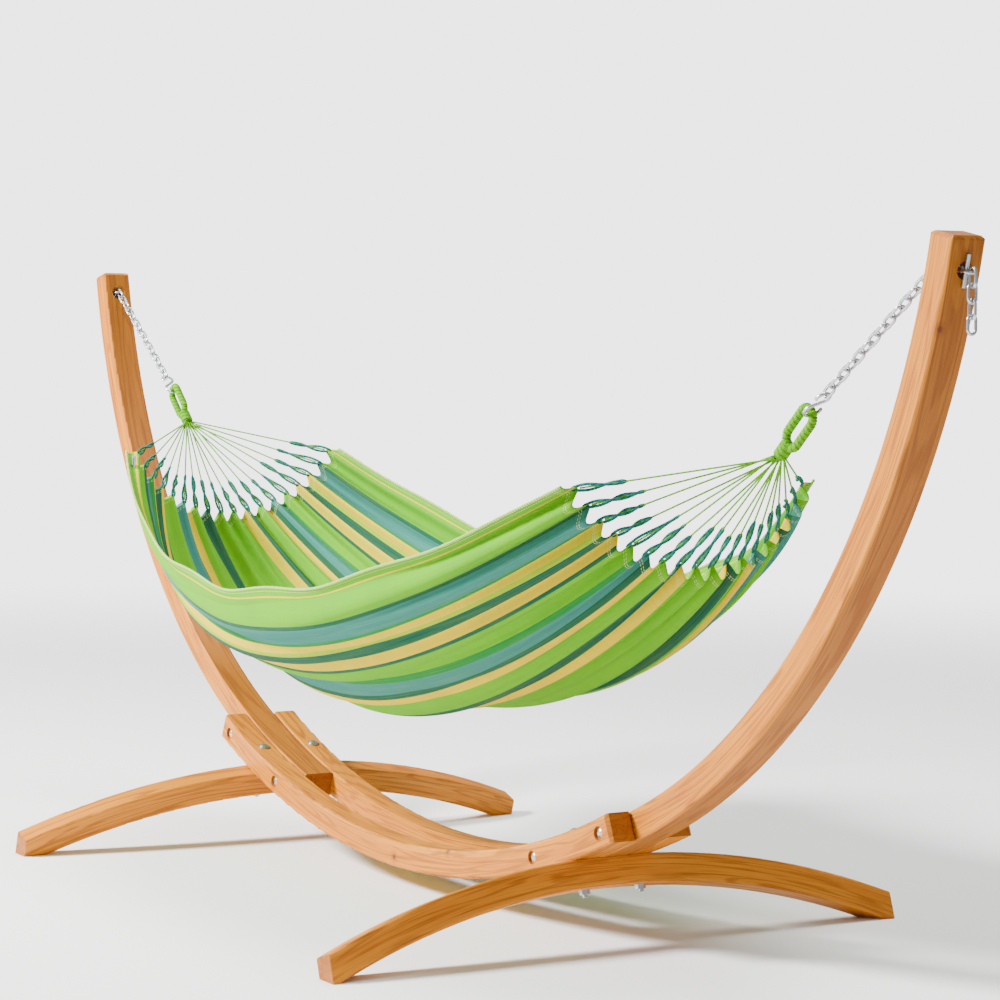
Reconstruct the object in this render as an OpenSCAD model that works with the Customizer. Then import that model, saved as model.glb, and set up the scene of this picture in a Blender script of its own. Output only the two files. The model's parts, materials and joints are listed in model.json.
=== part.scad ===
// Free-standing hammock stand of curved laminated beams, with a gathered cloth hammock hung from two chains.
// Millimetres. The long axis is X, the front is -Y, the floor is Z = 0.
// The origin is on the floor, midway between the two arms.

/* [Beam curve] */
// Centreline radius of the flat lower curve, shared by the cheeks and the arm roots
root_r = 2000; // [1950:10:2050]
// Centreline radius of the upper part of each arm
arm_r = 1420; // [1400:5:1440]
// Slope at which the lower curve turns into the upper one, in degrees
blend_slope = 24; // [24:0.5:25]
// Slope of an arm at its tip, in degrees
tip_slope = 78.5; // [78:0.5:80]
// Height of the lowest point of the beam centreline
base_h = 70; // [68:1:75]

/* [Beam sections] */
// Depth of an arm across its curve
arm_d = 56; // [54:1:58]
// Width of an arm along Y
arm_w = 66; // [62:1:70]
// Depth of a cheek across its curve
cheek_d = 54; // [52:1:56]
// Width of a cheek along Y
cheek_w = 54; // [48:1:60]
// Rounding of the long edges of every beam
edge_r = 5; // [3:1:7]

/* [Feet] */
// Tip to tip length of a foot
foot_len = 1200; // [1100:20:1240]
// Radius of the arched top of a foot
foot_r = 1550; // [1500:10:1600]
// Depth of a foot beam
foot_d = 54; // [50:1:58]
// Width of a foot beam
foot_w = 50; // [46:1:54]
// Slope of the cheeks where a foot is bolted on, in degrees
foot_slope = 19; // [18.5:0.5:19.5]

/* [Joints and bolts] */
// Distance from a beam's end to the nearest cross bolt
bolt_edge = 38; // [34:1:42]
// Slope at the lower end of an arm, in degrees
arm_end_slope = 14.5; // [14:0.5:15]
// Slope at the end of a cheek, in degrees
cheek_end_slope = 23.5; // [23:0.5:24]
// Diameter of the bolts
bolt_d = 10; // [8:1:12]
// Diameter of the recess around each cross bolt's head
recess_d = 26; // [24:1:30]
// Depth of that recess
recess_depth = 6; // [4:1:8]

/* [Chain] */
// Diameter of the chain wire
wire_d = 5; // [4.5:0.5:5]
// Inner length of one link
link_pitch = 24; // [24:0.5:25]
// Outer width of one link
link_w = 20; // [19:0.5:21]
// Links between an arm and its hook
run_links = 15; // [13:2:17]
// Loose links outside an arm
tail_links = 4; // [3:1:6]
// Fall of the hanging chain below the horizontal, in degrees
chain_fall = 36; // [34:1:38]
// Diameter of the chain hole in an arm
chain_hole_d = 28; // [28:1:30]
// Distance from an arm's tip to its chain hole
chain_hole_edge = 52; // [48:1:60]

/* [Hammock] */
// Cords from each end loop to the cloth
clew_cords = 18; // [12:1:20]
// Diameter of one cord
cord_d = 3; // [2:0.5:3]
// Fall of the end loops below the horizontal, in degrees
loop_fall = 42; // [40:1:45]
// Height of the lowest point of the cloth
bed_h = 360; // [340:5:400]
// Half width of the open bed at the middle
bed_half_w = 440; // [400:5:460]
// Height of the cloth's long edges above its lowest point, at the middle
bed_depth = 250; // [220:5:280]
// Thickness of the cloth's solid
cloth_t = 8; // [6:1:10]

/* [Hidden] */

wood = "peru";
steel = "silver";
lime = "yellowgreen";

// The beam curve: a root arc, then the tighter arm arc, tangent to it at blend_slope.
root_cz = base_h + root_r;
arm_cx = (root_r - arm_r) * sin(blend_slope);
arm_cz = root_cz - (root_r - arm_r) * cos(blend_slope);
cheek_y = (arm_w + cheek_w) / 2;
side_y = arm_w / 2 + cheek_w;
end_round = 14;
end_cut = 6;

// Slopes of the bolts and of the chain hole along the curve.
bolt_step = bolt_edge / root_r * 180 / PI;
inner_bolt = arm_end_slope + bolt_step;
outer_bolt = cheek_end_slope - bolt_step;
hole_slope = tip_slope - chain_hole_edge / arm_r * 180 / PI;
hole_chamfer = 4;

// Bolts, washers and nuts. The foot's top is let into the cheeks' underside by foot_seat.
// A flat washer lies top_gap above the middle of the hollow upper side of a cheek.
bore_d = bolt_d + 0.1;
head_d = 19;
head_h = 5;
dome_r = 14;
washer_d = 24;
washer_t = 2;
top_gap = 0.05;
nut_af = 17;
nut_h = 8;
thread_out = 5;
foot_seat = 3;
foot_under = cheek_d / 2 + foot_d - foot_seat;

// Chain: play is the gap where two links or a link and a pin touch.
play = 0.3;
pin_d = 7;
pin_len = 52;
link_r = (link_w - wire_d) / 2;
link_side = link_pitch + wire_d - 2 * link_r;
link_step = link_pitch - play;
anchor_links = 3;
anchor_start = -(pin_d + 1.5 * wire_d + 2.4);
anchor_end = anchor_start + (anchor_links - 1) * link_step + link_pitch + wire_d;
bend_gap = wire_d + 2 * play;

// S-hook: a closed eye on the last link, a straight shank and an open bow for the end loop.
hook_wire = 6;
hook_eye_r = 12;
hook_bow_r = 15;
hook_shank = 22;
hook_lean = atan2(hook_eye_r + hook_bow_r, hook_shank);
hook_span = norm([hook_eye_r + hook_bow_r, hook_shank]) + hook_eye_r + hook_bow_r;
hook_start = (run_links - 1) * link_step + link_pitch + wire_d - (wire_d + hook_wire) / 2 - play;

// End loops of the hammock: a rope eye and the whipped neck that the cords leave.
rope_d = 16;
eye_r = 17;
eye_run = 50;
eye_back = (hook_wire + rope_d) / 2 + 0.8;
neck_d = 26;
neck_end = 105;

// Places on the right-hand side, in the XZ plane. The left-hand side is its mirror image.
hole_mid = [arm_cx + arm_r * sin(hole_slope), 0, arm_cz - arm_r * cos(hole_slope)];
hole_dir = [-sin(hole_slope), 0, cos(hole_slope)];
outer_face = hole_mid - hole_dir * arm_d / 2;
chain_dir = [-cos(chain_fall), 0, -sin(chain_fall)];
chain_pivot = outer_face + hole_dir * anchor_end;
chain_top = chain_pivot - chain_dir * bend_gap;
hook_low = chain_top + chain_dir * (hook_start + hook_span);
loop_dir = [-cos(loop_fall), 0, -sin(loop_fall)];
loop_up = [-sin(loop_fall), 0, cos(loop_fall)];
neck_tip = hook_low + loop_dir * neck_end;

// Gathered ends of the cloth: each follows an arc of radius gather_r about the end loop's line.
gather_r = 280;
gather_half = 60;
cord_reach = 290;
cord_reach_edge = 220;
bed_half_angle = 80;
cloth_steps = 40;
cloth_strips = 20;

// ---------------------------------------------------------------- helpers

// Rounded rectangle, depth along X and width along Y, with exact corner arcs.
module beam_section(depth, width) {
    square([depth - 2 * edge_r, width], center = true);
    square([depth, width - 2 * edge_r], center = true);
    for (sx = [-1, 1], sy = [-1, 1])
        translate([sx * (depth / 2 - edge_r), sy * (width / 2 - edge_r)])
            circle(edge_r, $fn = 32);
}

// Beam swept about an axis parallel to Y at height cz, between two slopes.
module swept_beam(cz, r, depth, width, from, to) {
    translate([0, 0, cz])
        rotate([90, 0, 0])
            rotate_extrude(angle = to - from, start = from - 90, $fn = 360)
                translate([r, 0])
                    beam_section(depth, width);
}

// Places children on an arc at a slope: +X along the curve, +Z towards its centre, off outwards.
module at_slope(cx, cz, r, slope) {
    translate([cx + r * sin(slope), 0, cz - r * cos(slope)])
        rotate([0, -slope, 0])
            children();
}

module at_root(slope, off = 0) {
    at_slope(0, root_cz, root_r + off, slope)
        children();
}

module at_tip() {
    at_slope(arm_cx, arm_cz, arm_r, tip_slope)
        children();
}

// Cuts that round the inner and outer corners of a beam's end that faces +X. The rounding meets
// the faces at a slight angle.
module end_rounding(depth, width) {
    back = 0.9 * end_round;
    for (s = [-1, 1])
        scale([1, 1, s])
            translate([-back, 0, depth / 2 - back])
                rotate([90, 0, 0])
                    difference() {
                        translate([0, 0, -width])
                            cube([2 * end_round, 2 * end_round, 2 * width]);
                        cylinder(r = end_round, h = 3 * width, center = true, $fn = 64);
                    }
}

// Cuts that break the two side edges of a beam's end that faces +X.
module end_chamfers(width) {
    for (s = [-1, 1])
        translate([0, s * (width / 2 - end_cut), 0])
            rotate([0, 0, s * 45])
                translate([0, -40, -100])
                    cube([40, 80, 200]);
}

// Straight bore along Y.
module cross_bore(d) {
    rotate([90, 0, 0])
        cylinder(d = d, h = 2 * side_y + 20, center = true, $fn = 48);
}

// Round rod between two points.
module rod(a, b, d) {
    v = b - a;
    translate(a)
        rotate([0, acos(v[2] / norm(v)), atan2(v[1], v[0])])
            cylinder(d = d, h = norm(v), $fn = 16);
}

// ---------------------------------------------------------------- arms, cheeks and feet

module arm() {
    color(wood)
        difference() {
            // Seen from the change of curve, the centres of both arcs are on one vertical line.
            translate([0, 0, root_cz])
                rotate([0, -blend_slope, 0]) {
                    swept_beam(0, root_r, arm_d, arm_w, arm_end_slope - blend_slope, 0);
                    swept_beam(arm_r - root_r, arm_r, arm_d, arm_w, 0, tip_slope - blend_slope);
                }
            for (b = [inner_bolt, outer_bolt])
                at_root(b)
                    cross_bore(bore_d);
            at_slope(arm_cx, arm_cz, arm_r, hole_slope) {
                cylinder(d = chain_hole_d, h = arm_d + 20, center = true, $fn = 64);
                translate([0, 0, arm_d / 2 - hole_chamfer])
                    cylinder(d1 = chain_hole_d, d2 = chain_hole_d + 4 * hole_chamfer,
                             h = 2 * hole_chamfer, $fn = 64);
            }
            at_tip() {
                end_rounding(arm_d, arm_w);
                end_chamfers(arm_w);
            }
        }
}

// The front cheek. The rear one is its mirror image.
module cheek() {
    color(wood)
        translate([0, -cheek_y, 0])
            difference() {
                swept_beam(root_cz, root_r, cheek_d, cheek_w, -cheek_end_slope, cheek_end_slope);
                for (s = [-1, 1]) {
                    for (b = [inner_bolt, outer_bolt])
                        at_root(s * b) {
                            cross_bore(bore_d);
                            translate([0, recess_depth - cheek_w / 2, 0])
                                rotate([90, 0, 0])
                                    cylinder(d = recess_d, h = 2 * recess_depth, $fn = 64);
                        }
                    at_root(s * foot_slope)
                        cylinder(d = bore_d, h = cheek_d + 20, center = true, $fn = 48);
                    scale([s, 1, 1])
                        at_root(cheek_end_slope)
                            end_chamfers(cheek_w);
                }
            }
}

// The right foot: an arch in a plane square to the cheeks' slope, seated against their underside.
module foot() {
    color(wood)
        difference() {
            at_root(foot_slope, cheek_d / 2)
                translate([0, 0, foot_seat - foot_r])
                    rotate([90, 0, 90])
                        rotate_extrude(angle = 60, start = 60, $fn = 360)
                            translate([foot_r - foot_d / 2, 0])
                                beam_section(foot_d, foot_w);
            at_root(foot_slope, cheek_d / 2)
                translate([-foot_w, -foot_len, 0])
                    cube([2 * foot_w, 2 * foot_len, foot_d]);
            at_root(foot_slope, cheek_d / 2)
                translate([-foot_w, -arm_w / 2 - 0.5, -(arm_d - cheek_d) / 2 - 0.2])
                    cube([2 * foot_w, arm_w + 1, foot_d]);
            translate([0, -foot_len, -200])
                cube([1200, 2 * foot_len, 200]);
            for (s = [-1, 1])
                translate([0, s * foot_len, 0])
                    cube([2400, foot_len, 800], center = true);
            for (s = [-1, 1])
                at_root(foot_slope, cheek_d / 2)
                    translate([0, s * cheek_y, 0]) {
                        cylinder(d = bore_d, h = 3 * foot_d, center = true, $fn = 48);
                        translate([0, 0, -foot_d - 20])
                            cylinder(d = washer_d + 4, h = 20 + foot_seat, $fn = 64);
                    }
        }
}

// ---------------------------------------------------------------- bolts

module dome_head() {
    intersection() {
        translate([0, 0, head_h - dome_r])
            sphere(r = dome_r, $fn = 64);
        cylinder(d = head_d, h = head_h + 1, $fn = 64);
    }
}

// Places children on the four cross bolts' axes.
module at_cross_bolts() {
    for (s = [-1, 1], b = [inner_bolt, outer_bolt])
        at_root(s * b)
            children();
}

module cross_bolts() {
    seat = side_y - recess_depth;
    color(steel)
        at_cross_bolts()
            rotate([90, 0, 0]) {
                translate([0, 0, seat])
                    dome_head();
                translate([0, 0, -seat])
                    cylinder(d = bolt_d, h = 2 * seat, $fn = 48);
            }
}

// Domed cap nuts in the rear recesses.
module cross_nuts() {
    color(steel)
        at_cross_bolts()
            rotate([-90, 0, 0])
                translate([0, 0, side_y - recess_depth])
                    dome_head();
}

// Places children on the four foot bolts' axes, +Z up out of the cheek, off measured downwards.
module at_foot_bolts(off) {
    for (sx = [-1, 1], sy = [-1, 1])
        translate([0, sy * cheek_y, 0])
            at_root(sx * foot_slope, off)
                children();
}

module foot_bolts() {
    top = -cheek_d / 2 - top_gap - washer_t;
    length = foot_under - top + washer_t + nut_h + thread_out;
    color(steel)
        at_foot_bolts(top) {
            dome_head();
            translate([0, 0, -length])
                cylinder(d = bolt_d, h = length, $fn = 48);
        }
}

// A ring hanging down from its origin, round or with six flats.
module ring_below(d, h, sides) {
    translate([0, 0, -h])
        difference() {
            cylinder(d = d, h = h, $fn = sides);
            translate([0, 0, -1])
                cylinder(d = bore_d, h = h + 2, $fn = 48);
        }
}

module foot_washers() {
    color(steel)
        for (off = [-cheek_d / 2 - top_gap - washer_t, foot_under])
            at_foot_bolts(off)
                ring_below(washer_d, washer_t, 64);
}

module foot_nuts() {
    color(steel)
        at_foot_bolts(foot_under + washer_t)
            ring_below(nut_af / cos(30), nut_h, 6);
}

// ---------------------------------------------------------------- chains and hooks

// Arc of wire in the XZ plane about the origin, angles measured from +X towards +Z.
module wire_arc(r, d, from, sweep) {
    rotate([90, 0, 0])
        rotate_extrude(angle = sweep, start = from, $fn = 64)
            translate([r, 0])
                circle(d = d, $fn = 32);
}

// Closed oval of wire in the XZ plane, from its near wire at the origin to its far wire along +Z.
module oval(r, run, d) {
    for (s = [-1, 1])
        translate([s * r, 0, r])
            cylinder(d = d, h = run, $fn = 32);
    translate([0, 0, r])
        wire_arc(r, d, 180, 180);
    translate([0, 0, r + run])
        wire_arc(r, d, 0, 180);
}

// Turns children so that their +Z follows a direction in the XZ plane.
module along(start, dir) {
    translate(start)
        rotate([0, atan2(dir[0], dir[2]), 0])
            children();
}

// Row of links. The first lies flat where flat_first is true, and they alternate.
module chain(start, dir, count, flat_first) {
    color(steel)
        along(start, dir)
            for (i = [0 : count - 1])
                translate([0, 0, i * link_step])
                    rotate([0, 0, (i % 2 == 0) == flat_first ? 90 : 0])
                        oval(link_r, link_side, wire_d);
}

// Pin along the arm's outer face, through the first link, that keeps the chain from pulling through.
module chain_pin() {
    color(steel)
        translate(outer_face - hole_dir * (pin_d / 2 + play))
            rotate([0, 90 - hole_slope, 0])
                cylinder(d = pin_d, h = pin_len, center = true, $fn = 48);
}

module chain_anchor() {
    chain(outer_face + hole_dir * anchor_start, hole_dir, anchor_links, true);
}

// Loose end of the chain. It hangs through the first link, resting against that link's end wire.
module chain_tail() {
    lean_out = link_r - wire_d - play;
    chain(outer_face + hole_dir * anchor_start + [lean_out, 0, link_r], [0, 0, -1], tail_links, false);
}

module chain_run() {
    chain(chain_top, chain_dir, run_links, false);
}

module hook() {
    color(steel)
        along(chain_top + chain_dir * hook_start, chain_dir)
            rotate([0, 0, 90])
                translate([0, 0, hook_eye_r])
                    rotate([0, -hook_lean, 0]) {
                        wire_arc(hook_eye_r, hook_wire, -250, 250);
                        translate([hook_eye_r, 0, 0])
                            cylinder(d = hook_wire, h = hook_shank, $fn = 32);
                        translate([hook_eye_r + hook_bow_r, 0, hook_shank])
                            wire_arc(hook_bow_r, hook_wire, -65, 245);
                    }
}

// ---------------------------------------------------------------- hammock

module end_loop() {
    color(lime)
        along(hook_low - loop_dir * eye_back, loop_dir) {
            oval(eye_r, eye_run, rope_d);
            translate([0, 0, 2 * eye_r + eye_run])
                cylinder(d = neck_d, h = neck_end + eye_back - 2 * eye_r - eye_run, $fn = 48);
        }
}

// Point of the gathered end at t, from -1 at the front edge of the cloth to 1 at the rear edge.
function gathered(t) =
    neck_tip
    + loop_dir * (cord_reach + (cord_reach_edge - cord_reach) * t * t)
    + loop_up * gather_r * (1 - cos(gather_half * t))
    + [0, gather_r * sin(gather_half * t), 0];

// Point of the cloth's cross-section at the middle of the bed.
function bed_point(t) =
    let (a = bed_half_angle)
    [0,
     bed_half_w * sin(a * t) / sin(a),
     bed_h + cloth_t / 2 + bed_depth * (1 - cos(a * t)) / (1 - cos(a))];

// Middle surface of the cloth, u from -1 at the left end to 1 at the right end.
function cloth_point(u, t) =
    let (end = gathered(t), mid = bed_point(t))
    [u * end[0], mid[1] + (end[1] - mid[1]) * u * u, mid[2] + (end[2] - mid[2]) * u * u];

function unit(v) = v / norm(v);

function cloth_normal(u, t) =
    unit(cross(cloth_point(u + 0.01, t) - cloth_point(u - 0.01, t),
               cloth_point(u, t + 0.01) - cloth_point(u, t - 0.01)));

module clew_cords() {
    row_half = 11;
    row_gap = 3.6;
    color(lime)
        for (i = [0 : clew_cords - 1])
            let (t = (2 * i + 1) / clew_cords - 1,
                 from = neck_tip + loop_dir * play + [0, row_half * t, 0]
                        + loop_up * row_gap * (i % 3 - 1),
                 to = gathered(t))
            rod(from, to - unit(to - from) * (cloth_t / 2 + play), cord_d);
}

// Thin closed shell: the upper skin, the lower skin, and quads around the rim.
module hammock_cloth() {
    side = cloth_strips + 1;
    count = (cloth_steps + 1) * side;
    skin = [for (i = [0 : cloth_steps], j = [0 : cloth_strips])
        let (u = 2 * i / cloth_steps - 1, t = 2 * j / cloth_strips - 1)
        [cloth_point(u, t), cloth_normal(u, t) * cloth_t / 2]];
    rim = concat([for (i = [0 : cloth_steps - 1]) i * side],
                 [for (j = [0 : cloth_strips - 1]) cloth_steps * side + j],
                 [for (i = [cloth_steps : -1 : 1]) i * side + cloth_strips],
                 [for (j = [cloth_strips : -1 : 1]) j]);
    quads = concat(
        [for (i = [0 : cloth_steps - 1], j = [0 : cloth_strips - 1])
            let (k = i * side + j)
            [k, k + 1, k + side + 1, k + side]],
        [for (i = [0 : cloth_steps - 1], j = [0 : cloth_strips - 1])
            let (k = count + i * side + j)
            [k, k + side, k + side + 1, k + 1]],
        [for (m = [0 : len(rim) - 1])
            let (a = rim[m], b = rim[(m + 1) % len(rim)])
            [a, b, b + count, a + count]]);
    color("seagreen")
        polyhedron(points = concat([for (p = skin) p[0] + p[1]], [for (p = skin) p[0] - p[1]]),
                   faces = [for (q = quads) each [[q[0], q[1], q[2]], [q[0], q[2], q[3]]]]);
}

// Small folded label on the front edge near the left end.
module label_tag() {
    at = cloth_point(-0.94, -1);
    color("dimgray")
        translate([at[0], at[1] - cloth_t, at[2] - 6])
            cube([16, 2, 28], center = true);
}

// ---------------------------------------------------------------- nodes

module arm_left() { mirror([1, 0, 0]) arm(); }
module arm_right() { arm(); }
module cheek_front() { cheek(); }
module cheek_rear() { mirror([0, 1, 0]) cheek(); }
module foot_left() { mirror([1, 0, 0]) foot(); }
module foot_right() { foot(); }

arm_left();
arm_right();
cheek_front();
cheek_rear();
foot_left();
foot_right();
cross_bolts();
cross_nuts();
foot_bolts();
foot_washers();
foot_nuts();
mirror([1, 0, 0]) chain_pin();  // chain_pin_left
chain_pin();  // chain_pin_right
mirror([1, 0, 0]) chain_anchor();  // chain_anchor_left
chain_anchor();  // chain_anchor_right
mirror([1, 0, 0]) chain_tail();  // chain_tail_left
chain_tail();  // chain_tail_right
mirror([1, 0, 0]) chain_run();  // chain_run_left
chain_run();  // chain_run_right
mirror([1, 0, 0]) hook();  // hook_left
hook();  // hook_right
mirror([1, 0, 0]) end_loop();  // end_loop_left
end_loop();  // end_loop_right
mirror([1, 0, 0]) clew_cords();  // clew_cords_left
clew_cords();  // clew_cords_right
hammock_cloth();
label_tag();
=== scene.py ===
import json
import math

import bmesh
import bpy
import numpy as np
from mathutils import Matrix, Vector


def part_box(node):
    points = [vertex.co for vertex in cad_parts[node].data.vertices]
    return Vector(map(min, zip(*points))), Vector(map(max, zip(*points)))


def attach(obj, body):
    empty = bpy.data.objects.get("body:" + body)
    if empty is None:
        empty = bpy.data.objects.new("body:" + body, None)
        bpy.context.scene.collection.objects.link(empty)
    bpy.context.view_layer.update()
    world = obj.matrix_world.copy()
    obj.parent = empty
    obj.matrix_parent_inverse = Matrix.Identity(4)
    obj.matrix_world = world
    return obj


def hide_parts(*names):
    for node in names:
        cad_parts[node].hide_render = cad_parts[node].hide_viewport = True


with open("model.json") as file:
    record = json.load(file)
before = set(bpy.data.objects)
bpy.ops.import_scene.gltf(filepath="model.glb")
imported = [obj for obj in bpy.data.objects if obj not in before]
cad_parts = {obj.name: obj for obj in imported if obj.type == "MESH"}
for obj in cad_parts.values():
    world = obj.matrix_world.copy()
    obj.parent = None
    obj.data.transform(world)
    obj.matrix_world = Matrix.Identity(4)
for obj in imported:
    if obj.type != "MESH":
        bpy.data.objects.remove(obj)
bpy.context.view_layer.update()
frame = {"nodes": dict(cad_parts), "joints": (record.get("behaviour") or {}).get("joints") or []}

# The looks of the hammock on its stand. Metres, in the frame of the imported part:
# X is the long axis, the front is -Y and the floor is Z = 0.

SIDES = {"left": -1, "right": 1}
random = np.random.default_rng(7)

# Beams: two arcs, tangent to each other where the slope is BLEND_SLOPE.
ROOT_R = 2.000
ARM_R = 1.420
BASE_H = 0.070
BLEND_SLOPE = math.radians(24)
ROOT_CENTRE = np.array([0, ROOT_R + BASE_H])
ARM_CENTRE = ROOT_CENTRE + (ROOT_R - ARM_R) * np.array(
    [math.sin(BLEND_SLOPE), -math.cos(BLEND_SLOPE)])
CHEEK_D = 0.054
FOOT_SLOPE = math.radians(19)
FOOT_R = 1.550
FOOT_D = 0.054
FOOT_SEAT = 0.003
LAMINATION = 0.014

# Hammock: end loops in the hooks, cords, and the gathered ends of the cloth.
LOOP_FALL = math.radians(42)
NECK_END = 0.105
NECK_R = 0.013
ROPE_R = 0.008
EYE_R = 0.017
EYE_RUN = 0.050
EYE_BACK = 0.0118
CORDS = 18
CORD_D = 0.0034
CORD_ROW = 0.011
CORD_GAP = 0.0036
CORD_REACH = 0.290
CORD_REACH_EDGE = 0.220
GATHER_R = 0.280
GATHER_HALF = math.radians(60)
BED_LOW = 0.364
BED_HALF_W = 0.440
BED_DEPTH = 0.250
BED_HALF_ANGLE = math.radians(80)
CLOTH_T = 0.008
FLAT_W = 1.20
FLAT_L = 2.06
SHEET_T = 0.0016
PLEAT_H = 0.0115
LONG_FOLD_H = 0.0100
HEM_R = 0.0026
STITCH = 0.0056
CLEARANCE = 0.0003
HEADING_L = 0.105
HEADING_R = 0.0027
HEADING_IN_HEM = 0.012
WINDING = 0.0042
WINDING_DEPTH = 0.0016

# Studio.
FLOOR_HALF = 40
DOME_STRENGTH = 0.45
BACKDROP_STRENGTH = 4.5

# Stripes from an edge of the cloth to its middle line: colour and width in millimetres.
STRIPES = (
    ("lime", 20), ("yellow", 5), ("lime", 68), ("teal", 12), ("sea", 48), ("green", 10),
    ("yellow", 20), ("pale_lime", 12), ("teal", 32), ("yellow", 24), ("teal", 10), ("lime", 62),
    ("green", 14), ("sea", 40), ("teal", 14), ("yellow", 26), ("lime", 50), ("teal", 38),
    ("yellow", 22), ("lime", 73),
)


# ------------------------------------------------------------------ camera, light and floor

def place_camera():
    """A long lens to the right of the stand and in front of it, a little below the arms' tops."""
    yaw, pitch, roll = math.radians(59.436), math.radians(2.922), math.radians(0.344)
    level = math.cos(pitch)
    ahead = Vector((-math.sin(yaw) * level, math.cos(yaw) * level, -math.sin(pitch)))
    right = Vector((math.cos(yaw), math.sin(yaw), 0))
    up = right.cross(ahead)
    side = right * math.cos(roll) + up * math.sin(roll)
    top = up * math.cos(roll) - right * math.sin(roll)
    data = bpy.data.cameras.new("camera")
    data.lens = 104.67
    data.sensor_width = 36
    data.clip_end = 100
    camera = bpy.data.objects.new("camera", data)
    axes = Matrix((side, top, -ahead)).transposed().to_4x4()
    camera.matrix_world = Matrix.Translation((5.0787, -2.8412, 1.0732)) @ axes
    bpy.context.scene.collection.objects.link(camera)
    bpy.context.scene.camera = camera


def area_light(name, place, target, size, power):
    data = bpy.data.lights.new(name, "AREA")
    data.shape = "DISK"
    data.size = size
    data.energy = power
    light = bpy.data.objects.new(name, data)
    light.location = place
    light.rotation_euler = (Vector(target) - Vector(place)).to_track_quat("-Z", "Y").to_euler()
    bpy.context.scene.collection.objects.link(light)


def build_studio():
    """A pale floor under a weak dome, a soft key light from the front left and one from above."""
    world = bpy.data.worlds.new("studio")
    world.use_nodes = True
    nodes, links = world.node_tree.nodes, world.node_tree.links
    dome = nodes["Background"]
    dome.inputs["Color"].default_value = (1.0, 1.0, 1.0, 1)
    dome.inputs["Strength"].default_value = DOME_STRENGTH
    # What is seen behind the object is whiter than the light that the dome gives.
    backdrop = nodes.new("ShaderNodeBackground")
    backdrop.inputs["Strength"].default_value = BACKDROP_STRENGTH
    seen = nodes.new("ShaderNodeMixShader")
    links.new(nodes.new("ShaderNodeLightPath").outputs["Is Camera Ray"], seen.inputs[0])
    links.new(dome.outputs[0], seen.inputs[1])
    links.new(backdrop.outputs[0], seen.inputs[2])
    links.new(seen.outputs[0], nodes["World Output"].inputs["Surface"])
    bpy.context.scene.world = world
    centre = (0, 0, 0.6)
    area_light("key", (-2.6, -5.4, 4.8), centre, 1.9, 2050)
    area_light("top", (-0.5, 1.0, 6.0), centre, 3.0, 420)
    corners = [(x * FLOOR_HALF, y * FLOOR_HALF, 0) for x, y in ((-1, -1), (1, -1), (1, 1), (-1, 1))]
    floor = new_object("floor", corners, [(0, 1, 2, 3)], floor_material(), smooth=False)


# ------------------------------------------------------------------ mesh helpers

def new_object(name, points, faces, material, attributes=None, smooth=True):
    """A mesh object. Attributes are named rows of three numbers for each point."""
    mesh = bpy.data.meshes.new(name)
    mesh.from_pydata([tuple(p) for p in points], [], faces)
    for key, rows in (attributes or {}).items():
        mesh.attributes.new(key, "FLOAT_VECTOR", "POINT").data.foreach_set(
            "vector", np.asarray(rows, np.float32).ravel())
    mesh.polygons.foreach_set("use_smooth", [smooth] * len(mesh.polygons))
    mesh.materials.append(material)
    piece = bpy.data.objects.new(name, mesh)
    bpy.context.scene.collection.objects.link(piece)
    return piece


def outward(piece):
    shape = bmesh.new()
    shape.from_mesh(piece.data)
    bmesh.ops.recalc_face_normals(shape, faces=shape.faces)
    shape.to_mesh(piece.data)
    shape.free()
    return piece


def unit_rows(rows):
    return rows / np.linalg.norm(rows, axis=-1, keepdims=True)


def tube(points, radius, sides, across=None, closed=False):
    """Points, faces and lay of a tube along a path. radius(s, angle) gives the skin's distance.

    The lay is the distance along the path, the angle round it, and zero. across fixes where
    the angle is zero, and without it the tube turns as little as it can.
    """
    points = np.asarray(points, float)
    if closed:
        ahead = np.roll(points, -1, 0)
        tangents = unit_rows(ahead - np.roll(points, 1, 0))
        steps = np.linalg.norm(ahead - points, axis=1)[:-1]
    else:
        tangents = unit_rows(np.gradient(points, axis=0))
        steps = np.linalg.norm(np.diff(points, axis=0), axis=1)
    along = np.concatenate([[0], np.cumsum(steps)])
    if across is None:
        start = np.eye(3)[np.argmin(np.abs(tangents[0]))]
        normals = [start]
        for t in tangents:
            normals.append(unit_rows(normals[-1] - t * (normals[-1] @ t)))
        normals = np.array(normals[1:])
    else:
        across = np.asarray(across, float)
        normals = unit_rows(across - tangents * (tangents @ across)[:, None])
    binormals = np.cross(tangents, normals)
    angles = 2 * math.pi * np.arange(sides) / sides
    distance = radius(along[:, None], angles[None, :]) * np.ones((len(points), sides))
    spokes = (np.cos(angles)[None, :, None] * normals[:, None]
              + np.sin(angles)[None, :, None] * binormals[:, None])
    skin = points[:, None] + distance[..., None] * spokes
    lay = np.stack(np.broadcast_arrays(along[:, None], angles[None, :], 0.0), -1)
    rings = len(points)
    faces = []
    for i in range(rings if closed else rings - 1):
        j = (i + 1) % rings
        for k in range(sides):
            m = (k + 1) % sides
            faces.append((i * sides + k, i * sides + m, j * sides + m, j * sides + k))
    if not closed:
        faces.append(tuple(range(sides))[::-1])
        faces.append(tuple((rings - 1) * sides + k for k in range(sides)))
    return skin.reshape(-1, 3), faces, lay.reshape(-1, 3)


def joined(parts):
    """Several (points, faces, lay) as one."""
    points, faces, lays, base = [], [], [], 0
    for skin, quads, lay in parts:
        points.append(skin)
        lays.append(lay)
        faces += [tuple(base + k for k in face) for face in quads]
        base += len(skin)
    return np.vstack(points), faces, np.vstack(lays)


def ride(piece, body, slot, *nodes):
    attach(piece, body)
    if nodes:
        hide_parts(*nodes)
    return piece


# ------------------------------------------------------------------ material helpers

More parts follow.
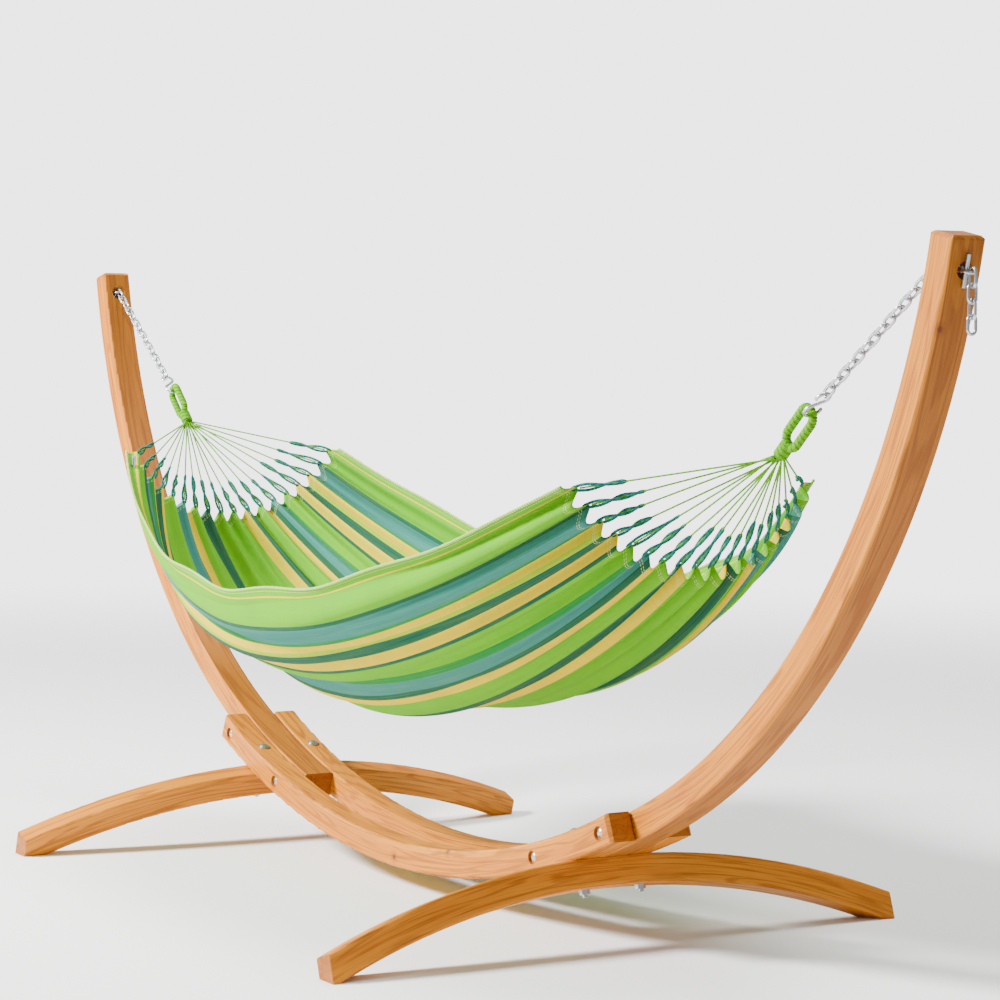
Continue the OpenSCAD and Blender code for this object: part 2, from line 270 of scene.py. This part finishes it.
def linear(colour):
    """Linear RGBA of a colour written as six hex digits."""
    parts = [int(colour[i:i + 2], 16) / 255 for i in (0, 2, 4)]
    return [c / 12.92 if c < 0.04045 else ((c + 0.055) / 1.055) ** 2.4 for c in parts] + [1.0]


class Shader:
    """A material's node tree, with one method for each kind of node that the materials use."""

    def __init__(self, name):
        self.material = bpy.data.materials.new(name)
        self.material.use_nodes = True
        self.nodes = self.material.node_tree.nodes
        self.links = self.material.node_tree.links
        self.surface = self.nodes["Principled BSDF"]

    def put(self, socket, value):
        if isinstance(value, bpy.types.NodeSocket):
            self.links.new(value, socket)
        elif value is not None:
            socket.default_value = value

    def node(self, kind, settings=None, **inputs):
        made = self.nodes.new(kind)
        for key, value in (settings or {}).items():
            setattr(made, key, value)
        for key, value in inputs.items():
            self.put(made.inputs[key.replace("_", " ")], value)
        return made

    def math(self, operation, a, b=None, c=None):
        made = self.node("ShaderNodeMath", {"operation": operation})
        for socket, value in zip(made.inputs, (a, b, c)):
            self.put(socket, value)
        return made.outputs[0]

    def attribute(self, name):
        """The three parts of a named vector attribute."""
        vector = self.node("ShaderNodeAttribute", {"attribute_name": name}).outputs["Vector"]
        return list(self.node("ShaderNodeSeparateXYZ", Vector=vector).outputs)

    def place(self):
        """The piece's own coordinates in metres."""
        return self.node("ShaderNodeTexCoord").outputs["Object"]

    def vector(self, x, y, z):
        return self.node("ShaderNodeCombineXYZ", X=x, Y=y, Z=z).outputs[0]

    def noise(self, vector, scale=1.0, detail=3.0, rough=0.5, distortion=0.0):
        return self.node("ShaderNodeTexNoise", Vector=vector, Scale=scale, Detail=detail,
                         Roughness=rough, Distortion=distortion).outputs["Fac"]

    def cells(self, vector, scale):
        return self.node("ShaderNodeTexVoronoi", Vector=vector, Scale=scale)

    def span(self, value, low, high, to_low=0.0, to_high=1.0):
        """A value from low to high, smoothly taken to to_low to to_high."""
        made = self.node("ShaderNodeMapRange", {"interpolation_type": "SMOOTHSTEP"}, Value=value)
        numbers = {"From Min": low, "From Max": high, "To Min": to_low, "To Max": to_high}
        for key, number in numbers.items():
            made.inputs[key].default_value = number
        return made.outputs["Result"]

    def mix(self, share, a, b):
        made = self.node("ShaderNodeMix", {"data_type": "RGBA"})
        self.put(made.inputs[0], share)
        self.put(made.inputs[6], a)
        self.put(made.inputs[7], b)
        return made.outputs[2]

    def steps(self, value, stops):
        """A colour ramp of plain bands. stops are (place, colour)."""
        ramp = self.node("ShaderNodeValToRGB", Fac=value)
        band = ramp.color_ramp
        band.interpolation = "CONSTANT"
        while len(band.elements) < len(stops):
            band.elements.new(1.0)
        for element, (place, colour) in zip(band.elements, stops):
            element.position = place
            element.color = colour
        return ramp.outputs["Color"]

    def bump(self, height, distance, strength=1.0, normal=None):
        return self.node("ShaderNodeBump", Height=height, Distance=distance, Strength=strength,
                         Normal=normal).outputs["Normal"]

    def finish(self, colour, roughness, normal=None, **plain):
        """Wires the surface. plain are numbers set on the shader's own sockets."""
        self.put(self.surface.inputs["Base Color"], colour)
        self.put(self.surface.inputs["Roughness"], roughness)
        if normal is not None:
            self.put(self.surface.inputs["Normal"], normal)
        for key, value in plain.items():
            self.surface.inputs[key.replace("_", " ")].default_value = value
        return self.material


# ------------------------------------------------------------------ materials

def floor_material():
    s = Shader("pale_floor")
    colour = s.mix(s.noise(s.place(), 0.6, 2), linear("f1f1f0"), linear("f6f6f5"))
    length = s.node("ShaderNodeVectorMath", {"operation": "LENGTH"}, Vector=s.place())
    reach = length.outputs["Value"]
    s.put(s.surface.inputs["Alpha"], s.span(reach, 8.0, 3.0))
    return s.finish(colour, 0.9, Specular_IOR_Level=0.1)


def wood_material():
    """Laminated larch under a satin glaze.

    The grain attribute is (along the beam, through its layers, across it).
    """
    s = Shader("glazed_larch")
    along, through, across = s.attribute("grain")
    layer = s.math("FLOOR", s.math("DIVIDE", through, LAMINATION))
    shift = s.node("ShaderNodeTexWhiteNoise", {"noise_dimensions": "1D"}, W=layer).outputs["Value"]
    slide = s.math("MULTIPLY", shift, 9.0)

    # Growth rings: slow bands that run along the board and close in on themselves.
    rings_at = s.vector(s.math("MULTIPLY_ADD", along, 1.5, slide),
                        s.math("MULTIPLY_ADD", through, 24.0, slide),
                        s.math("MULTIPLY_ADD", across, 17.0, slide))
    figure = s.noise(rings_at, 1.0, 2.5, 0.45, 0.35)
    rings = s.math("SINE", s.math("MULTIPLY", figure, 62.0))
    late = s.span(rings, 0.0, 1.0)

    # Fibres: very long, very thin streaks.
    fibre_at = s.vector(s.math("MULTIPLY", along, 9.0),
                        s.math("MULTIPLY", through, 760.0), s.math("MULTIPLY", across, 760.0))
    fibres = s.noise(fibre_at, 1.0, 3, 0.6)
    tone = s.noise(s.vector(s.math("MULTIPLY_ADD", along, 2.2, slide),
                            s.math("MULTIPLY", through, 14.0),
                            s.math("MULTIPLY", across, 14.0)), 1.0, 2)

    # A small knot every half metre or so.
    knot_at = s.vector(along, through, across)
    warped = s.node("ShaderNodeVectorMath", {"operation": "ADD"})
    s.put(warped.inputs[0], knot_at)
    wobble = s.node("ShaderNodeVectorMath", {"operation": "SCALE"})
    stir = s.node("ShaderNodeTexNoise", Vector=knot_at, Scale=60.0)
    s.put(wobble.inputs[0], stir.outputs["Color"])
    wobble.inputs["Scale"].default_value = 0.004
    s.put(warped.inputs[1], wobble.outputs[0])
    near_knot = s.cells(warped.outputs[0], 7.0).outputs["Distance"]
    knot = s.span(near_knot, 0.055, 0.028)
    knot_ring = s.span(near_knot, 0.13, 0.05)

    colour = s.mix(s.span(tone, 0.3, 0.7), linear("cf7d04"), linear("b96400"))
    colour = s.mix(s.math("MULTIPLY", shift, 0.45), colour, linear("d98a1c"))
    colour = s.mix(s.math("MULTIPLY", late, 0.60), colour, linear("8a4200"))
    colour = s.mix(s.span(fibres, 0.35, 0.75, 0.0, 0.30), colour, linear("e69a2e"))
    colour = s.mix(s.span(fibres, 0.5, 0.25, 0.0, 0.42), colour, linear("743600"))
    colour = s.mix(s.math("MULTIPLY", knot_ring, 0.45), colour, linear("8a430f"))
    colour = s.mix(s.math("MULTIPLY", knot, 0.80), colour, linear("4a210a"))
    in_layer = s.math("FRACT", s.math("DIVIDE", through, LAMINATION))
    glue = s.span(s.math("ABSOLUTE", s.math("SUBTRACT", in_layer, 0.5)), 0.470, 0.492)
    colour = s.mix(s.math("MULTIPLY", glue, 0.50), colour, linear("703a10"))
    # Sawn ends soak up more of the glaze.
    end = s.node("ShaderNodeAttribute", {"attribute_name": "end_grain"}).outputs["Fac"]
    colour = s.mix(s.span(end, 0.45, 0.95, 0.0, 0.62), colour, linear("7a3d12"))

    rough = s.math("MULTIPLY_ADD", fibres, 0.16, s.math("MULTIPLY_ADD", late, 0.06, 0.42))
    relief = s.bump(fibres, 0.00025, 0.5)
    relief = s.bump(late, 0.00012, 0.6, relief)
    relief = s.bump(s.math("SUBTRACT", 1.0, glue), 0.0002, 0.6, relief)
    return s.finish(colour, rough, relief, Coat_Weight=0.03, Coat_Roughness=0.3,
                    Specular_IOR_Level=0.22)


def steel_material(name, tone, roughness, spangle):
    """Zinc plated steel. spangle is how much the crystals of the zinc show."""
    s = Shader(name)
    at = s.place()
    tints = s.cells(at, 330.0).outputs["Color"]
    crystals = s.node("ShaderNodeSeparateXYZ", Vector=tints).outputs[0]
    cloud = s.noise(at, 45.0, 4)
    scratch = s.noise(at, 900.0, 2)
    colour = s.mix(s.math("MULTIPLY", crystals, spangle), linear(tone), linear("9fa3a8"))
    colour = s.mix(s.span(cloud, 0.52, 0.78, 0.0, 0.35), colour, linear("83868b"))
    rough = s.math("MULTIPLY_ADD", cloud, 0.18, roughness - 0.06)
    rough = s.math("MULTIPLY_ADD", crystals, 0.10 * spangle, rough)
    return s.finish(colour, rough, s.bump(scratch, 0.00006, 0.5), Metallic=1.0)


CLOTH_COLOURS = {
    "lime": "63b400",
    "pale_lime": "a3c400",
    "yellow": "e6c600",
    "green": "008036",
    "teal": "005242",
    "sea": "2c7f78",
}


def cloth_material():
    """Striped canvas. The cloth attribute is (along, across, distance from the nearer end)."""
    s = Shader("striped_canvas")
    along, across, from_end = s.attribute("cloth")
    from_edge = s.math("SUBTRACT", FLAT_W / 2, s.math("ABSOLUTE", across))
    place, stops = 0.0, []
    total = sum(width for _, width in STRIPES)
    for name, width in STRIPES:
        stops.append((place / total, linear(CLOTH_COLOURS[name])))
        place += width
    colour = s.steps(s.math("DIVIDE", from_edge, FLAT_W / 2), stops)

    # Warp threads run along the stripes and weft threads across them.
    warp = s.math("SINE", s.math("MULTIPLY", across, 2 * math.pi / 0.0016))
    weft = s.math("SINE", s.math("MULTIPLY", along, 2 * math.pi / 0.0019))
    weave = s.math("MULTIPLY", warp, weft)
    slub_at = s.vector(s.math("MULTIPLY", along, 5.0), s.math("MULTIPLY", across, 520.0), 0.0)
    slub = s.noise(slub_at, 1.0, 3, 0.6)
    cross_at = s.vector(s.math("MULTIPLY", along, 420.0), s.math("MULTIPLY", across, 6.0), 3.0)
    slub_across = s.noise(cross_at, 1.0, 2)
    cloud = s.noise(s.vector(along, across, 0.0), 7.0, 4)
    colour = s.mix(s.span(weave, -1.0, 1.0, 0.0, 0.16), colour, linear("0f4a10"))
    colour = s.mix(s.span(slub, 0.35, 0.75, 0.0, 0.10), colour, linear("c8d000"))
    colour = s.mix(s.span(slub_across, 0.55, 0.30, 0.0, 0.10), colour, linear("1d5142"))
    colour = s.mix(s.span(cloud, 0.35, 0.75, 0.0, 0.12), colour, linear("245a3c"))

    # Two rows of stitches near each end and one along each edge.
    def stitches(distance, row, run):
        line = s.span(s.math("ABSOLUTE", s.math("SUBTRACT", distance, row)), 0.0011, 0.0006)
        dash = s.span(s.math("SINE", s.math("MULTIPLY", run, 2 * math.pi / STITCH)), -0.55, -0.25)
        return s.math("MULTIPLY", line, dash)

    seam = s.math("MAXIMUM", stitches(from_end, 0.016, across), stitches(from_end, 0.021, across))
    seam = s.math("MAXIMUM", seam, stitches(from_edge, 0.009, along))
    colour = s.mix(s.math("MULTIPLY", seam, 0.75), colour, linear("d8e08a"))
    fold = s.span(s.math("ABSOLUTE", s.math("SUBTRACT", from_end, 0.0185)), 0.006, 0.0)

    relief = s.bump(weave, 0.00035, 0.55)
    relief = s.bump(slub, 0.0003, 0.35, relief)
    relief = s.bump(s.math("SUBTRACT", 1.0, fold), 0.0008, 0.5, relief)
    relief = s.bump(seam, 0.0006, 0.8, relief)
    rough = s.math("MULTIPLY_ADD", slub, 0.12, 0.78)
    return s.finish(colour, rough, relief, Sheen_Weight=0.03, Sheen_Roughness=0.4,
                    Specular_IOR_Level=0.08)


def yarn_material(name, tone, groove_shade_and_dark_tone, light, lay_pitch):
    """Twisted cotton yarn. The lay attribute is (along, angle round the yarn, 0)."""
    s = Shader(name)
    along, angle, _ = s.attribute("lay")
    turn = s.math("MULTIPLY_ADD", along, 2 * math.pi / lay_pitch, s.math("MULTIPLY", angle, 2.0))
    ply = s.span(s.math("SINE", turn), -1.0, 0.2)
    fuzz = s.noise(s.place(), 1400.0, 3, 0.6)
    cloud = s.noise(s.place(), 38.0, 3)
    # Painted shade: the grooves between the plies get the dark colour, as if shade fell in them.
    # The same dark colour also gives the random darker clouds below.
    colour = s.mix(s.math("SUBTRACT", 1.0, ply), linear(tone), linear(groove_shade_and_dark_tone))
    colour = s.mix(s.span(fuzz, 0.4, 0.75, 0.0, 0.35), colour, linear(light))
    colour = s.mix(s.span(cloud, 0.35, 0.7, 0.0, 0.30), colour, linear(groove_shade_and_dark_tone))
    relief = s.bump(ply, 0.0005, 0.6)
    relief = s.bump(fuzz, 0.0003, 0.5, relief)
    return s.finish(colour, 0.82, relief, Sheen_Weight=0.06, Specular_IOR_Level=0.12)


def label_material():
    """Dark woven label with a pale stitched border.

    The weave attribute is (across, up, 0) from its middle.
    """
    s = Shader("woven_label")
    across, up, _ = s.attribute("weave")
    edge_x = s.math("SUBTRACT", 0.008, s.math("ABSOLUTE", across))
    edge_y = s.math("SUBTRACT", 0.014, s.math("ABSOLUTE", up))
    edge = s.math("MINIMUM", edge_x, edge_y)
    border = s.span(s.math("ABSOLUTE", s.math("SUBTRACT", edge, 0.0022)), 0.0007, 0.0003)
    threads = s.math("SINE", s.math("MULTIPLY", up, 2 * math.pi / 0.0006))
    fuzz = s.noise(s.place(), 2500.0, 2)
    colour = s.mix(fuzz, linear("23304a"), linear("35435f"))
    colour = s.mix(s.math("MULTIPLY", border, 0.85), colour, linear("dfe3e6"))
    relief = s.bump(threads, 0.0001, 0.6)
    return s.finish(colour, 0.7, relief, Sheen_Weight=0.15)


# ------------------------------------------------------------------ hammock geometry

def hook_low(side):
    """Where an end loop sits in its hook."""
    swing = next(j for j in frame["joints"] if j["name"] == "hammock_swing")
    x, _, z = swing["pos_m"]
    return np.array([side * abs(x), 0, z])


def loop_dir(side):
    """From an end loop towards the cloth."""
    return np.array([-side * math.cos(LOOP_FALL), 0, -math.sin(LOOP_FALL)])


def loop_up(side):
    return np.array([-side * math.sin(LOOP_FALL), 0, math.cos(LOOP_FALL)])


def neck_tip(side):
    return hook_low(side) + loop_dir(side) * NECK_END


def gathered(t, side):
    """Points of the cloth's gathered end, t from -1 at its front edge to 1 at its rear edge."""
    t = np.asarray(t, float)[..., None]
    reach = CORD_REACH + (CORD_REACH_EDGE - CORD_REACH) * t ** 2
    return (neck_tip(side) + loop_dir(side) * reach
            + loop_up(side) * GATHER_R * (1 - np.cos(GATHER_HALF * t))
            + np.array([0, 1, 0]) * GATHER_R * np.sin(GATHER_HALF * t))


def bed(t):
    """Points of the cloth's section at the middle of the bed."""
    t = np.asarray(t, float)
    a = BED_HALF_ANGLE
    return np.stack([0 * t, BED_HALF_W * np.sin(a * t) / math.sin(a),
                     BED_LOW + BED_DEPTH * (1 - np.cos(a * t)) / (1 - math.cos(a))], -1)


def cloth_surface(u, t):
    """Points of the smooth cloth, u from -1 at the left end to 1 at the right end."""
    end, mid = gathered(t, 1), bed(t)
    u = np.asarray(u, float)
    return np.stack([u * end[..., 0],
                     mid[..., 1] + (end[..., 1] - mid[..., 1]) * u ** 2,
                     mid[..., 2] + (end[..., 2] - mid[..., 2]) * u ** 2], -1)


def cord_places():
    """t of each cord's end on the cloth."""
    return (2 * np.arange(CORDS) + 1) / CORDS - 1


def cord_ends(i, side):
    t = cord_places()[i]
    start = (neck_tip(side) + loop_dir(side) * CLEARANCE + np.array([0, CORD_ROW * t, 0])
             + loop_up(side) * CORD_GAP * (i % 3 - 1))
    end = gathered(t, side)
    return start, end - unit_rows(end - start) * (CLOTH_T / 2 + CLEARANCE)


def build_cords(material):
    """Taut twisted cords that fan out from each end loop's neck to the cloth."""
    pitch = 0.011

    def laid(s, angle):
        return CORD_D / 2 * (0.80 + 0.20 * np.abs(np.cos(1.5 * (angle - 2 * math.pi * s / pitch))))

    for name, side in SIDES.items():
        for i in range(CORDS):
            start, end = cord_ends(i, side)
            length = float(np.linalg.norm(end - start))
            rings = int(length / 0.0016)
            path = start + (end - start) * np.linspace(0, 1, rings)[:, None]
            skin, faces, lay = tube(path, laid, 9)
            title = f"clew_cord_{name}_{i + 1:02d}"
            cord = outward(new_object(title, skin, faces, material, {"lay": lay}))
            ride(cord, "hammock", "lime_cord", f"clew_cords_{name}")


def folds(u, t):
    """How far the cloth stands off its smooth surface: pleats, long folds and broad folds."""
    q = (t + 1) / 2 * CORDS
    height = random.uniform(0.75, 1.25, (2, CORDS))
    reach = random.uniform(0.0, 0.45, (2, CORDS))
    # Heights and reaches change smoothly from one pleat to the next.
    where = np.arange(CORDS) + 0.5
    near = np.abs(u)
    side = (u > 0).astype(float)

    def spread(rows):
        left, right = np.interp(q, where, rows[0]), np.interp(q, where, rows[1])
        return left + (right - left) * side

    def ridge(phase):
        """A wave whose crests are sharper than its hollows."""
        return 1 - 2 * np.abs(np.sin(phase / 2)) ** 0.8

    start = spread(reach)
    grown = np.clip((near - start) / (1 - start), 0, 1) ** 1.3
    # The crests stay where the cords are, and the cloth hangs down between them.
    wave = -np.cos(2 * math.pi * q) - 1 + 0.15 * (np.cos(4 * math.pi * q) - 1)
    pleats = PLEAT_H * spread(height) * grown * wave
    middle = 1 - near ** 3
    broad = (0.0090 * np.sin(2 * math.pi * (1.7 * t + 0.30 * u) + 0.4)
             + 0.0070 * ridge(2 * math.pi * (3.2 * t - 0.45 * u) + 2.1)
             + 0.0045 * ridge(2 * math.pi * (6.1 * t + 0.65 * u) + 4.0))
    # Long folds run from the gathers towards the bed and die out before its middle.
    across = ridge(2 * math.pi * (4.3 * t + 0.12 * np.sin(5 * t)) + 0.8)
    long = LONG_FOLD_H * across * near ** 0.9 * (1 - near ** 6)
    return pleats + (broad * middle + long) * (1 - 0.75 * t ** 6)


def cloth_grid(rows, columns):
    """The cloth's points and its flat coordinates, on a grid of u by t."""
    u, t = np.meshgrid(np.linspace(-1, 1, rows), np.linspace(-1, 1, columns), indexing="ij")
    # Between two cords the gathered end draws back a little.
    slack = 0.010 * (1 + np.cos(2 * math.pi * (t + 1) / 2 * CORDS)) / 2
    drawn = u * (1 - slack * np.abs(u) ** 14)
    base = cloth_surface(drawn, t)
    normal = unit_rows(np.cross(np.gradient(base, axis=0), np.gradient(base, axis=1)))
    points = base + normal * folds(u, t)[..., None]
    # The long edges hang a little loose between the ends.
    edge = np.abs(t) ** 10
    flutter = 0.006 * np.sin(5.2 * math.pi * u + 0.8 * np.sign(t)) * (1 - u ** 2)
    points[..., 2] += edge * flutter
    flat = np.stack([u * FLAT_L / 2, t * FLAT_W / 2, (1 - np.abs(u)) * FLAT_L / 2], -1)
    return points, flat


def build_cloth(material):
    """The striped cloth with its rolled edges."""
    rows, columns = 221, 361
    points, flat = cloth_grid(rows, columns)
    corners = [i * columns + j for i in range(rows - 1) for j in range(columns - 1)]
    faces = [(k, k + columns, k + columns + 1, k + 1) for k in corners]
    cloth = new_object("striped_cloth", points.reshape(-1, 3), faces, material,
                       {"cloth": flat.reshape(-1, 3)})
    thickness = cloth.modifiers.new("thickness", "SOLIDIFY")
    thickness.thickness = SHEET_T
    thickness.offset = 0
    ride(cloth, "hammock", "striped_cloth", "hammock_cloth")

    hems = []
    for name, column in (("front", 0), ("rear", columns - 1)):
        line, at = points[:, column], flat[:, column]
        sides = 10
        skin, quads, _ = tube(line, lambda s, a: HEM_R + 0.0004 * np.sin(s * 2 * math.pi / STITCH),
                              sides, across=(0, 1, 0))
        rows_at = np.repeat(at * [1, 0.985, 1], sides, axis=0)
        hem = outward(new_object(f"rolled_edge_{name}", skin, quads, material, {"cloth": rows_at}))
        hems.append(ride(hem, "hammock", "striped_cloth"))
    return cloth, hems, points


def build_headings(material, points):
    """Teal loops of warp ends: two strands leave the hem and twist round each cord."""
    pieces = []
    for name, side in SIDES.items():
        end_row = points[-1 if side > 0 else 0]
        strands = []
        for i, t in enumerate(cord_places()):
            start, _ = cord_ends(i, side)
            column = (t + 1) / 2 * (len(end_row) - 1)
            index = int(round(column))
            foot = end_row[index]
            last = len(end_row) - 1
            beside = unit_rows(end_row[min(index + 4, last)] - end_row[max(index - 4, 0)])
            towards = unit_rows(start - foot)
            other = np.cross(towards, beside)
            length = HEADING_L + 0.018 * random.uniform(-1, 1)
            turns = 0.55 + 0.45 * random.uniform(-1, 1)
            v = np.linspace(0, 1, 46)[:, None]
            for strand in (0, math.pi):
                spin = strand + 2 * math.pi * turns * v ** 2
                swing = 0.0022 + 0.0042 * np.sin(math.pi * np.clip(v / 0.9, 0, 1) ** 0.7) ** 2
                # The strands start a little way down on the hem, so they show no gap to it.
                line = (foot + towards * (length * v - HEADING_IN_HEM)
                        + swing * (np.cos(spin) * beside + np.sin(spin) * other))

                def thick(s, angle, total=length):
                    ends = np.clip(np.minimum(s, total - s) / 0.006, 0.05, 1) ** 0.5
                    laid = 0.86 + 0.14 * np.abs(np.cos(angle - 2 * math.pi * s / 0.014))
                    return HEADING_R * ends * laid

                strands.append(tube(line, thick, 8))
        skin, faces, lay = joined(strands)
        piece = outward(new_object(f"heading_loops_{name}", skin, faces, material, {"lay": lay}))
        pieces.append(ride(piece, "hammock", "teal_cord"))
    return pieces


def build_end_loops(material):
    """Rope eyes closely wound with cord, and the wound neck that the cords leave."""
    for name, side in SIDES.items():
        down, up = loop_dir(side), loop_up(side)
        origin = hook_low(side) - down * EYE_BACK
        bend = np.linspace(0, math.pi, 72, endpoint=False)
        run = np.linspace(0, 1, 50, endpoint=False)
        near = [(-EYE_R * math.cos(a), EYE_R - EYE_R * math.sin(a)) for a in bend]
        right = [(EYE_R, EYE_R + EYE_RUN * f) for f in run]
        far = [(EYE_R * math.cos(a), EYE_R + EYE_RUN + EYE_R * math.sin(a)) for a in bend]
        left = [(-EYE_R, EYE_R + EYE_RUN * (1 - f)) for f in run]
        route = np.array([origin + up * x + down * z for x, z in near + right + far + left])
        length = 2 * EYE_RUN + 2 * math.pi * EYE_R
        pitch = length / round(length / WINDING)

        def wound(s, angle):
            ridge = np.abs(np.sin(math.pi * s / pitch - angle / 2))
            return ROPE_R - WINDING_DEPTH + WINDING_DEPTH * ridge

        fine = resampled(route, int(length / 0.0007))
        eye = tube(fine, wound, 20, across=(0, 1, 0), closed=True)

        neck_from = origin + down * (2 * EYE_R + EYE_RUN - 0.004)
        neck_to = neck_tip(side)
        neck_length = float(np.linalg.norm(neck_to - neck_from))

        def neck(s, angle):
            ridge = np.abs(np.sin(math.pi * s / 0.0040 - angle / 2))
            ends = np.clip(np.minimum(s + 0.001, neck_length - s + 0.001) / 0.007, 0, 1)
            body = NECK_R - WINDING_DEPTH + WINDING_DEPTH * ridge
            return body * (0.45 + 0.55 * np.sin(ends * math.pi / 2))

        neck_path = neck_from + down * np.linspace(0, neck_length, 60)[:, None]
        skin, faces, lay = joined([eye, tube(neck_path, neck, 28, across=(0, 1, 0))])
        loop = outward(new_object(f"wound_loop_{name}", skin, faces, material, {"lay": lay}))
        ride(loop, "hammock", "lime_cord", f"end_loop_{name}")


def resampled(route, count):
    """A closed route's points, evenly spaced."""
    closed = np.vstack([route, route[:1]])
    along = np.concatenate([[0], np.cumsum(np.linalg.norm(np.diff(closed, axis=0), axis=1))])
    at = np.linspace(0, along[-1], count, endpoint=False)
    return np.stack([np.interp(at, along, closed[:, k]) for k in range(3)], -1)


def build_label(material):
    """A small folded label sewn to the front edge."""
    low, high = (np.array(c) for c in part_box("label_tag"))
    middle, half = (low + high) / 2, (high - low) / 2
    rows, columns = 25, 13
    points, weave, faces = [], [], []
    for i in range(rows):
        for j in range(columns):
            a, b = 2 * i / (rows - 1) - 1, 2 * j / (columns - 1) - 1
            curl = 0.0007 * math.sin(2.2 * a + 0.6) + 0.0003 * b * a
            points.append(middle + np.array([b * half[0], curl, a * half[2]]))
            weave.append((b * half[0], a * half[2], 0))
    for i in range(rows - 1):
        for j in range(columns - 1):
            k = i * columns + j
            faces.append((k, k + 1, k + columns + 1, k + columns))
    label = new_object("folded_label", points, faces, material, {"weave": weave})
    layers = label.modifiers.new("two_layers", "SOLIDIFY")
    layers.thickness = 0.0011
    layers.offset = 0
    soft = label.modifiers.new("soft_edge", "BEVEL")
    soft.width = 0.0003
    soft.segments = 2
    ride(label, "hammock", "label", "label_tag")


# ------------------------------------------------------------------ stand

def arc_grain(points, centre, radius):
    """Distance along an arc in the XZ plane, and height above its centreline towards the centre."""
    dx, dz = points[:, 0] - centre[0], centre[1] - points[:, 2]
    return np.arctan2(dx, dz), radius - np.hypot(dx, dz)


def beam_grain(points):
    """Grain of an arm or a cheek: (along, through, across), following both arcs of the curve."""
    mirrored = points * [np.sign(points[:, 0].mean()) or 1, 1, 1]
    slope, off = arc_grain(mirrored, ROOT_CENTRE, ROOT_R)
    arm_slope, arm_off = arc_grain(mirrored, ARM_CENTRE, ARM_R)
    along = np.where(slope > BLEND_SLOPE, ROOT_R * BLEND_SLOPE + ARM_R * (arm_slope - BLEND_SLOPE),
                     ROOT_R * slope)
    return np.stack([along, np.where(slope > BLEND_SLOPE, arm_off, off), points[:, 1]], -1)


def foot_grain(points):
    """Grain of a foot, which arches in a plane square to the cheeks."""
    mirrored = points * [np.sign(points[:, 0].mean()), 1, 1]
    out = np.array([math.cos(FOOT_SLOPE), 0, math.sin(FOOT_SLOPE)])
    up = np.array([-math.sin(FOOT_SLOPE), 0, math.cos(FOOT_SLOPE)])
    reach = ROOT_R + CHEEK_D / 2
    seat = np.array([reach * math.sin(FOOT_SLOPE), 0,
                     ROOT_CENTRE[1] - reach * math.cos(FOOT_SLOPE)])
    local = mirrored - (seat + up * (FOOT_SEAT - FOOT_R))
    y, z = points[:, 1], local @ up
    through = np.hypot(y, z) - (FOOT_R - FOOT_D / 2)
    return np.stack([FOOT_R * np.arctan2(y, z), through, local @ out], -1)


def directions(points, node):
    """The direction along the beam at each point."""
    side = np.sign(points[:, 0])
    if node.startswith("foot"):
        tilt = np.arctan2(points[:, 1], FOOT_R + 0 * side)
        lean = side * math.sin(FOOT_SLOPE) * np.sin(tilt)
        return np.stack([lean, np.cos(tilt), -np.sin(tilt)], -1)
    mirrored = points * np.stack([side, 1 + 0 * side, 1 + 0 * side], -1)
    slope = arc_grain(mirrored, ROOT_CENTRE, ROOT_R)[0]
    arm_slope = arc_grain(mirrored, ARM_CENTRE, ARM_R)[0]
    slope = np.where(slope > BLEND_SLOPE, arm_slope, slope)
    return np.stack([np.cos(slope) * side, 0 * slope, np.sin(slope)], -1)


def build_timber(material):
    """Each beam is its CAD shape with the grain of its own curve written on it."""
    beams = {"arm_left": beam_grain, "arm_right": beam_grain, "cheek_front": beam_grain,
             "cheek_rear": beam_grain, "foot_left": foot_grain, "foot_right": foot_grain}
    for number, (node, grain_of) in enumerate(beams.items()):
        mesh = frame["nodes"][node].data.copy()
        points = np.array([v.co for v in mesh.vertices])
        # Each beam is cut from another board.
        grain = grain_of(points) + [7.3 * number, LAMINATION * 12 * number, 0.31 * number]
        mesh.attributes.new("grain", "FLOAT_VECTOR", "POINT").data.foreach_set(
            "vector", grain.astype(np.float32).ravel())
        normals = np.array([n.vector for n in mesh.vertex_normals])
        ahead = directions(points, node)
        facing = np.abs((normals * ahead).sum(1))
        mesh.attributes.new("end_grain", "FLOAT", "POINT").data.foreach_set(
            "value", facing.astype(np.float32))
        mesh.materials.clear()
        mesh.materials.append(material)
        beam = bpy.data.objects.new(f"timber_{node}", mesh)
        bpy.context.scene.collection.objects.link(beam)
        ride(beam, "stand", "wood", node)


def finish_metal(bolt_steel, chain_steel):
    """The bolts, chains and hooks keep their CAD shapes."""
    metal = ("chain_", "hook_", "cross_", "foot_bolts", "foot_nuts", "foot_washers")
    for node, piece in frame["nodes"].items():
        if node.startswith(metal):
            links = node.startswith(("chain_run", "chain_tail", "chain_anchor", "hook"))
            piece.data.materials.clear()
            piece.data.materials.append(chain_steel if links else bolt_steel)


# ------------------------------------------------------------------ scene

place_camera()
lime_yarn = yarn_material("lime_yarn", "62ac00", "3f7a00", "8fc820", 0.011)
teal_yarn = yarn_material("teal_yarn", "0d6a60", "04443e", "2c8f80", 0.014)
build_cords(lime_yarn)
build_studio()
build_timber(wood_material())
finish_metal(steel_material("bolt_zinc", "c8cbcf", 0.30, 0.25),
             steel_material("chain_zinc", "d2d5d8", 0.26, 0.55))
canvas = cloth_material()
cloth, hems, cloth_points = build_cloth(canvas)
headings = build_headings(teal_yarn, cloth_points)
build_end_loops(lime_yarn)
build_label(label_material())
